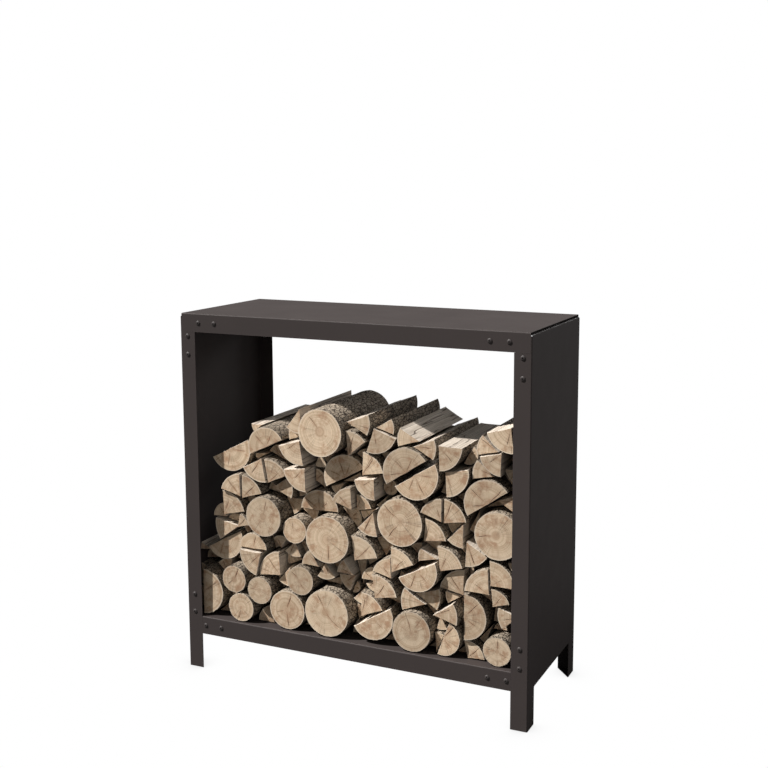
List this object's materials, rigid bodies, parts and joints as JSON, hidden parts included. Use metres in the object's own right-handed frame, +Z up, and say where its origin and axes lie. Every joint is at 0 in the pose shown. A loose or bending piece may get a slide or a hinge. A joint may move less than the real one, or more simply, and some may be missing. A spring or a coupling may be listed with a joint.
{
  "type": "firewood rack",
  "caption": "Open log rack of folded sheet steel on four short angle legs, with top, shelf and side panels, screwed corner plates and a stack of short split logs.",
  "frame": {"origin": "middle of the rack's footprint, on the ground", "axes": "+X across the width, to the right seen from the open front; +Y from the front to the rear; +Z up"},
  "size_m": [1, 0.4064, 1],
  "materials": {
    "coated_sheet": "fine satin powder coat, brown-black",
    "coated_plate": "satin powder coat, brown-black",
    "black_screw": "satin black coated screw",
    "zinc": "bright zinc plate",
    "wood": "raw sawn ends, split faces and bark"
  },
  "bodies": {
    "root": {"top_panel": "coated_sheet", "shelf_panel": "coated_sheet", "left_side_panel": "coated_sheet", "right_side_panel": "coated_sheet", "corner_plate_front_top_left": "coated_plate", "corner_plate_front_top_right": "coated_plate", "corner_plate_front_bottom_left": "coated_plate", "corner_plate_front_bottom_right": "coated_plate", "corner_plate_rear_top_left": "coated_plate", "corner_plate_rear_top_right": "coated_plate", "corner_plate_rear_bottom_left": "coated_plate", "corner_plate_rear_bottom_right": "coated_plate", "foot_plate_front_left": "coated_plate", "foot_plate_front_right": "coated_plate", "foot_plate_rear_left": "coated_plate", "foot_plate_rear_right": "coated_plate", "screws_front_top_left": "black_screw", "screws_front_top_right": "black_screw", "screws_front_bottom_left": "black_screw", "screws_front_bottom_right": "black_screw", "screws_rear_top_left": "black_screw", "screws_rear_top_right": "black_screw", "screws_rear_bottom_left": "black_screw", "screws_rear_bottom_right": "black_screw", "nuts_front_top_left": "zinc", "nuts_front_top_right": "zinc", "nuts_front_bottom_left": "zinc", "nuts_front_bottom_right": "zinc", "nuts_rear_top_left": "zinc", "nuts_rear_top_right": "zinc", "nuts_rear_bottom_left": "zinc", "nuts_rear_bottom_right": "zinc", "log_course_01": "wood", "log_course_02": "wood", "log_course_03": "wood", "log_course_04": "wood", "log_course_05": "wood", "log_course_06": "wood", "log_course_07": "wood", "log_course_08": "wood", "log_course_09": "wood", "log_course_10": "wood"}
  },
  "joints": []
}
